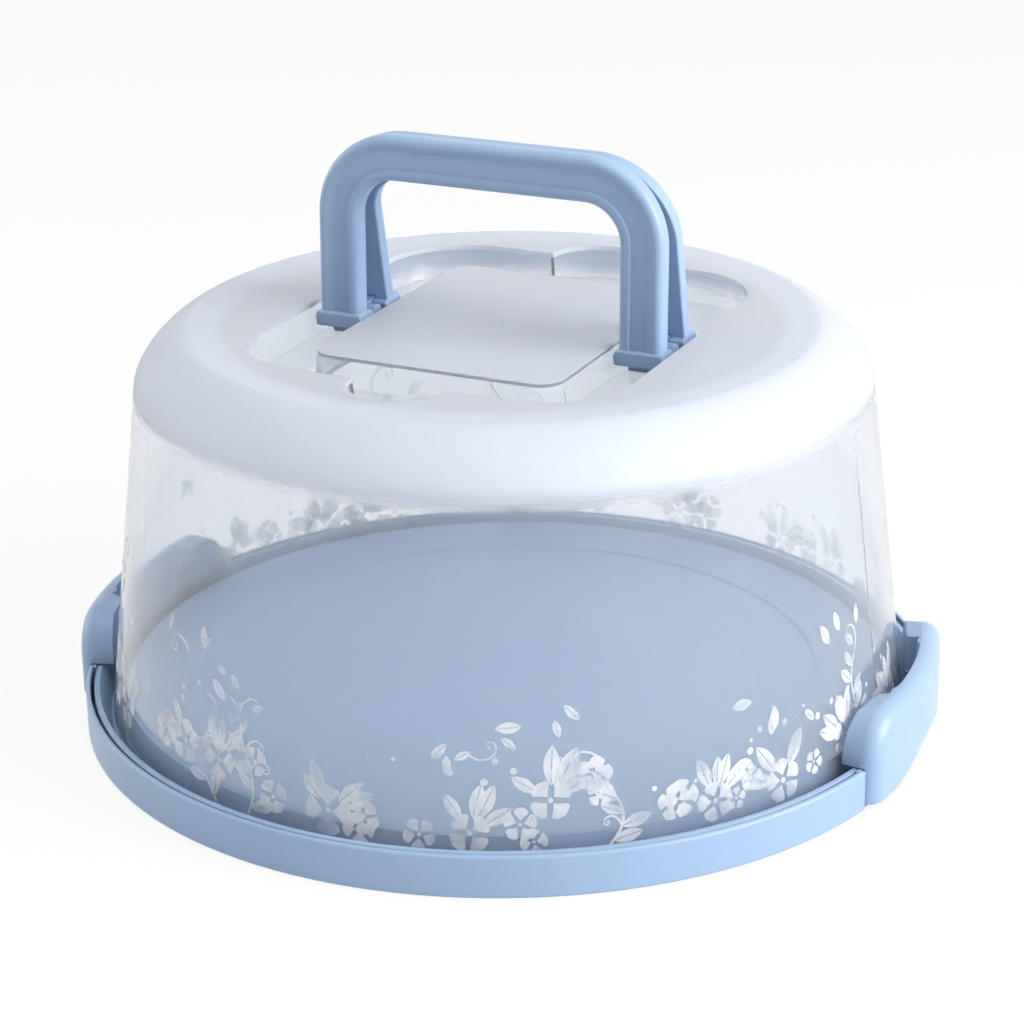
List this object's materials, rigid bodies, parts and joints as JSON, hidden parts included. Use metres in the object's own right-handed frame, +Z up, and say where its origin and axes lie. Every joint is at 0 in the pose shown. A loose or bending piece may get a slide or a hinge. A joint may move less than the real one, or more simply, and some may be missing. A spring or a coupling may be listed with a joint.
{
  "type": "cake carrier",
  "caption": "Round cake carrier: tray set in a base ring, clear domed cover that lifts off, folding split carrying handle, and hinged side latches.",
  "frame": {"origin": "centre of the base's underside, which is also the centre of the bottom of the overall box", "axes": "+X runs through the two latches towards the right one, +Y to the rear, +Z up; the cover and handle are turned 6.5 degrees clockwise about Z, seen from above, as in the picture"},
  "size_m": [0.3164, 0.31, 0.2123],
  "materials": {
    "blue_plastic": "satin moulded polypropylene, pale blue",
    "clear_plastic": "clear moulded polypropylene with a frosted top"
  },
  "bodies": {
    "base": {"base_ring": "blue_plastic", "tray": "blue_plastic"},
    "cover": {"dome_cover": "clear_plastic", "handle_bracket_left": "blue_plastic", "handle_bracket_right": "blue_plastic"},
    "handle_front": {"handle_front": "blue_plastic"},
    "handle_rear": {"handle_rear": "blue_plastic"},
    "latch_left": {"latch_left": "blue_plastic"},
    "latch_right": {"latch_right": "blue_plastic"}
  },
  "joints": [
    {"name": "cover_lift", "type": "slide", "parent": "base", "child": "cover", "axis": [0, 0, 1], "range_m": [0, 0.15]},
    {"name": "handle_front_fold", "type": "hinge", "parent": "cover", "child": "handle_front", "pos_m": [-0.00096, -0.00844, 0.1436], "axis": [0.9936, -0.1132, 0], "range_deg": [0, 91.5]},
    {"name": "handle_rear_fold", "type": "hinge", "parent": "cover", "child": "handle_rear", "pos_m": [0.00096, 0.00844, 0.1436], "axis": [-0.9936, 0.1132, 0], "range_deg": [0, 101.4]},
    {"name": "latch_right_swing", "type": "hinge", "parent": "base", "child": "latch_right", "pos_m": [0.1507, 0, 0.0048], "axis": [0, 1, 0], "range_deg": [0, 40]},
    {"name": "latch_left_swing", "type": "hinge", "parent": "base", "child": "latch_left", "pos_m": [-0.1507, 0, 0.0048], "axis": [0, -1, 0], "range_deg": [0, 40]}
  ]
}
